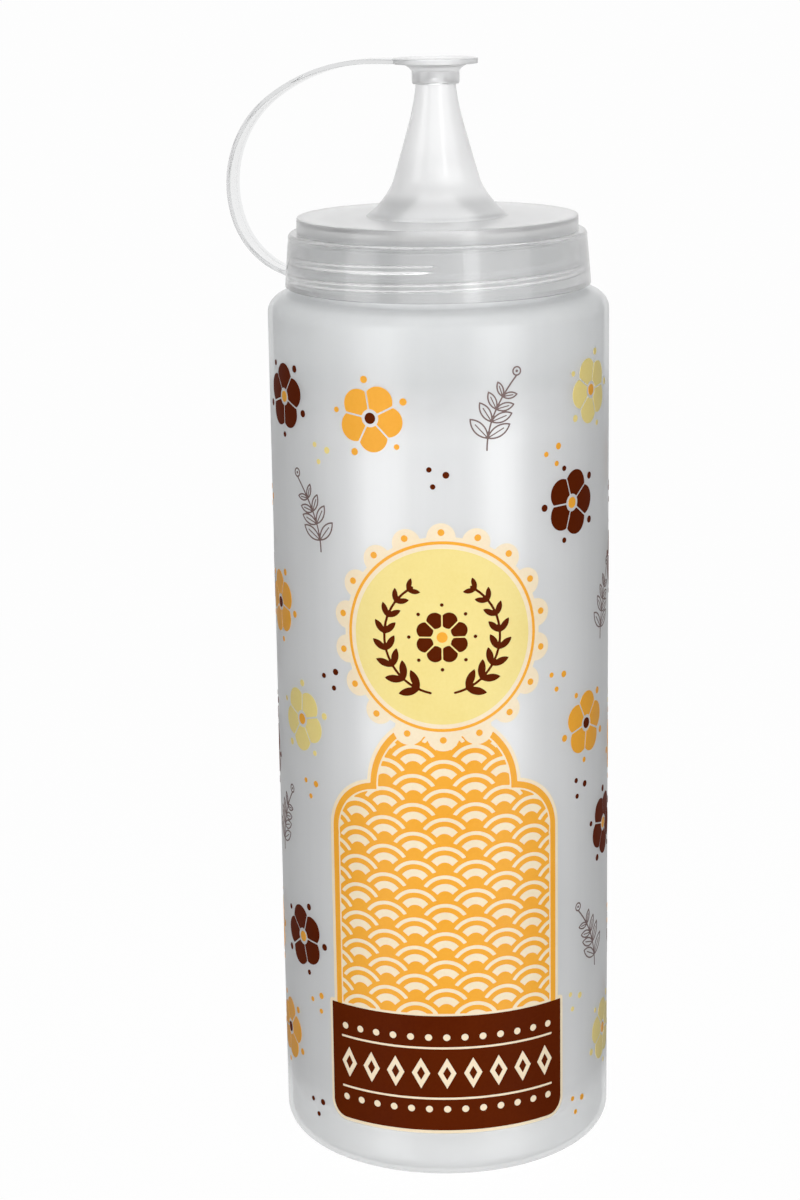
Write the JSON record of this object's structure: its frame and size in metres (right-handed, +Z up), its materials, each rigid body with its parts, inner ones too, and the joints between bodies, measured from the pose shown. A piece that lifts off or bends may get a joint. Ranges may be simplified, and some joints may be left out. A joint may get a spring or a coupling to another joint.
{
  "type": "squeeze sauce bottle",
  "caption": "Tall translucent squeeze bottle for sauce, with a screw-on cap, conical pouring nozzle and a push-on tip cap held by a looped strap.",
  "frame": {"origin": "centre of the base, on the plane the bottle stands on", "axes": "+Z up along the bottle's axis to the nozzle, -X towards the side the strap loops out on, -Y the printed front"},
  "size_m": [0.0898, 0.08, 0.2611],
  "materials": {
    "bottle_plastic": "milky translucent polyethylene, satin gloss",
    "cap_plastic": "clearer translucent polyethylene, satin gloss",
    "washer_rubber": "matt white silicone",
    "ink_brown": "screen-printed ink, dark brown",
    "ink_caramel": "screen-printed ink, caramel",
    "ink_yellow": "screen-printed ink, pale yellow",
    "ink_cream": "screen-printed ink, cream",
    "ink_grey": "screen-printed ink, thin grey-brown line"
  },
  "bodies": {
    "bottle": {"bottle_body": "bottle_plastic"},
    "washer": {"sealing_washer": "washer_rubber"},
    "cap": {"screw_cap": "cap_plastic", "strap_lower": "cap_plastic"},
    "tip": {"strap_upper": "cap_plastic", "tip_cap": "cap_plastic"}
  },
  "joints": [
    {"name": "cap_lift", "type": "slide", "parent": "bottle", "child": "washer", "axis": [0, 0, 1], "range_m": [0, 0.00673]},
    {"name": "cap_turn", "type": "hinge", "parent": "washer", "child": "cap", "pos_m": [0, 0, 0.2152], "axis": [0, 0, 1], "range_deg": [0, 576]},
    {"name": "tip_cap_flip", "type": "hinge", "parent": "cap", "child": "tip", "pos_m": [-0.03476, 0.00964, 0.25514], "axis": [-0.2672, -0.9636, 0], "range_deg": [0, 120]}
  ],
  "couplings": [
    {"joint": "cap_lift", "follows": "cap_turn", "m_per_rad": 0.00066845}
  ]
}
